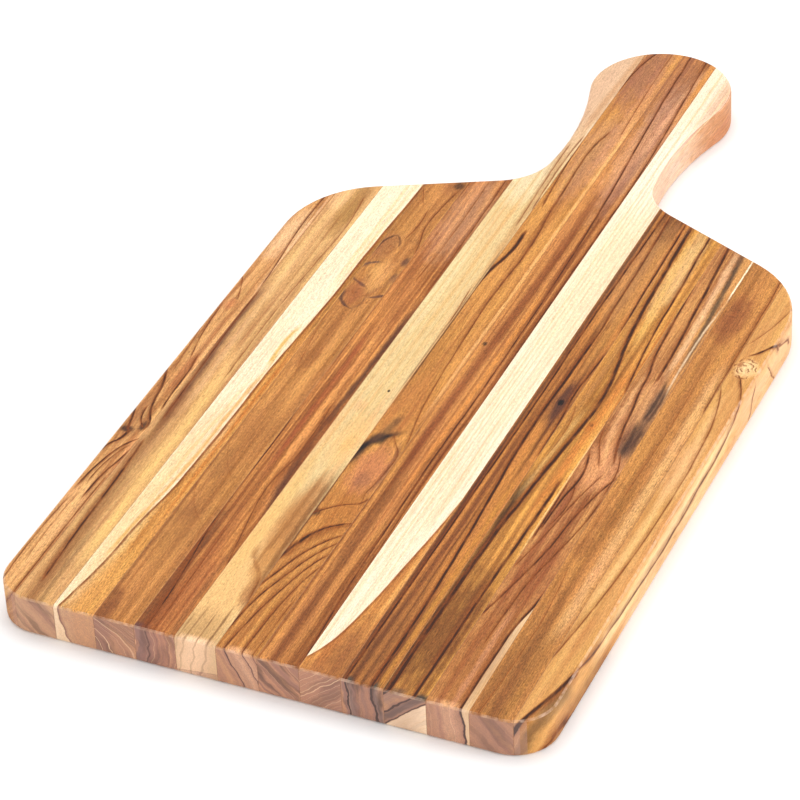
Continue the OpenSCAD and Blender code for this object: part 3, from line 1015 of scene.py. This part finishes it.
    def add_grain(self, colour):
        """Light and dark fibres, short dark dashes and open pores."""
        ring = self.ring
        seed = self.seed
        splinters = self.cloudy(ring, SPLINTERS, -seed)
        flecks = self.cloudy(ring, FLECKS, seed) * self.level * 1.3
        grain = self.hairs * 0.65 + self.fibres * 0.45 + splinters + flecks
        share = (1.0 - self.sap * (1.0 - self.wood.sap_grain)) * self.wood.grain
        colour = self.blend(1, colour, grain * share + 1, "MULTIPLY")
        dashes = self.smooth(self.cloudy(ring, DASHES, seed), 0.1, 0.2)
        dashes = dashes * self.smooth(self.cloudy(ring, DASHED_PLACES, -seed), -0.05, 0.15)
        dashes = dashes * self.level * (0.6 * self.wood.dashes)
        colour = self.blend(dashes, colour, tone(LINE_HALO))
        return self.blend(self.pores * 0.35 * self.calm, colour, tone(PORE))

    def add_end_grain(self, colour):
        """Cut end grain is greyer and pinker, with a thin pale line where each year begins."""
        murk = self.cloudy(self.ring, MURK, self.seed)
        murk = self.smooth(murk, -0.06, 0.16) * self.wood.murk
        dark = self.math("MAXIMUM", murk, self.smooth(self.darkness, 0.3, 0.7)) * self.calm
        plain = self.blend(self.sap, tone(END_GRAIN), tone(END_SAPWOOD))
        colour = self.blend(self.end * 0.5, colour, plain)
        colour = self.blend(self.end * dark * 0.8, colour, tone(END_MURK))
        return self.blend(self.end * self.year_start * self.wood.rays, colour, tone(RAY))

    def add_edge_wear_and_highlight(self, colour):
        """The eased edges are paler in places: partly rubbed wear, partly a painted highlight where the
        round-over catches the light.
        """
        wear_and_highlight = self.smooth(self.cloudy(self.x, EDGE_WEAR_AND_HIGHLIGHT_PLACES, 0), -0.3, 0.3)
        return self.blend(self.rim * wear_and_highlight * 0.4, colour, tone(EDGE_WEAR_AND_HIGHLIGHT))

    def finish(self):
        """The finished material, from the heartwood up to the eased edges' rubbed wear and painted
        highlight.
        """
        colour = self.heartwood()
        layers = (
            self.add_sapwood, self.add_clouds, self.add_streaks, self.add_lines,
            self.add_dark_knots, self.add_tint, self.add_grain, self.add_end_grain,
            self.add_edge_wear_and_highlight,
        )
        for add in layers:
            colour = add(colour)
        roughness = TEAK_ROUGHNESS + self.fibres * 0.16 + self.pores * 0.15 + self.end * 0.12
        height = self.fibres * 0.6 - self.pores * 0.8 - self.late * 0.5
        shader = self.shader(colour, roughness)
        shader.inputs["Specular IOR Level"].default_value = TEAK_SPECULAR
        self.emboss(shader, height, strength=0.35, step=TEAK_RELIEF)
        return self.material


def glue(name, seed):
    """Cured wood glue, darkened by dust and oil."""
    film = Graph(name)
    where = film.add("ShaderNodeTexCoord")
    x, y, z = (part / MM for part in film.split(where.outputs["Object"]))
    dust = film.noise(seed, y / 6, (THICKNESS - z) / 3, detail=3, roughness=0.7)
    colour = film.blend(film.smooth(dust, -0.2, 0.2), tone(GLUE_DARK), tone(GLUE_LIGHT))
    shader = film.shader(colour, 0.5 + dust * 0.2)
    film.emboss(shader, dust, strength=0.3, step=0.02)
    return film.material


def floor_white():
    """A plain pale studio floor."""
    white = Graph("floor_white")
    white.shader((0.9, 0.9, 0.9, 1), roughness=0.9)
    return white.material


def dress(node_name, material):
    """Gives a node of the model its material."""
    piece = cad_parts[node_name]
    piece.data.materials.clear()
    piece.data.materials.append(material)
    for face in piece.data.polygons:
        face.material_index = 0


def add_floor():
    """A plain pale floor under the board."""
    half = FLOOR_SIZE / 2
    corners = [(-half, -half, 0), (half, -half, 0), (half, half, 0), (-half, half, 0)]
    mesh = bpy.data.meshes.new("floor")
    mesh.from_pydata(corners, [], [(0, 1, 2, 3)])
    mesh.materials.append(floor_white())
    floor = bpy.data.objects.new("floor", mesh)
    bpy.context.scene.collection.objects.link(floor)


def add_light(name, place, size, power):
    """A soft square light that points at the board."""
    data = bpy.data.lights.new(name, "AREA")
    data.size = size
    data.energy = power
    light = bpy.data.objects.new(name, data)
    light.location = place
    light.rotation_mode = "QUATERNION"
    light.rotation_quaternion = (-Vector(place)).to_track_quat("-Z", "Y")
    bpy.context.scene.collection.objects.link(light)


def add_lights():
    """Soft white light from all round, with a little more from above and from the right."""
    world = bpy.data.worlds.new("studio")
    world.use_nodes = True
    background = world.node_tree.nodes["Background"]
    background.inputs["Color"].default_value = (1, 1, 1, 1)
    background.inputs["Strength"].default_value = 0.8
    bpy.context.scene.world = world
    add_light("overhead", place=(-0.4, 0.6, 2.2), size=2, power=30)
    add_light("right", place=(2.2, 0.1, 0.8), size=1.5, power=32)
    add_light("front", place=(0.1, -2.4, 0.7), size=1.5, power=10)


def add_camera():
    """The photograph's viewpoint: ahead of the near end, to the right and above."""
    target = Vector((-0.0167, -0.0685, 0.01905))
    distance = 1.7426
    heading = math.radians(25.51)
    elevation = math.radians(36.25)
    roll = math.radians(-2.98)
    toward_camera = Vector((
        math.sin(heading) * math.cos(elevation),
        -math.cos(heading) * math.cos(elevation),
        math.sin(elevation),
    ))
    level_right = Vector((math.cos(heading), math.sin(heading), 0))
    level_up = toward_camera.cross(level_right)
    right = level_right * math.cos(roll) + level_up * math.sin(roll)
    up = toward_camera.cross(right)
    data = bpy.data.cameras.new("camera")
    data.lens = 174.45
    data.sensor_width = 36
    camera = bpy.data.objects.new("camera", data)
    camera.matrix_world = Matrix.Translation(target + toward_camera * distance) @ Matrix(
        (right, up, toward_camera)).transposed().to_4x4()
    bpy.context.scene.collection.objects.link(camera)
    bpy.context.scene.camera = camera


add_camera()
add_floor()
add_lights()
bpy.context.scene.view_settings.view_transform = "Standard"
for number, figure in enumerate(STAVES, start=1):
    teak = Teak(f"teak_{number:02d}", figure(), number * TEAK_SHIFT)
    dress(f"stave_{number:02d}", teak.finish())
for number in range(1, STAVE_COUNT):
    dress(f"glue_line_{number:02d}", glue(f"glue_{number:02d}", number * GLUE_SHIFT))
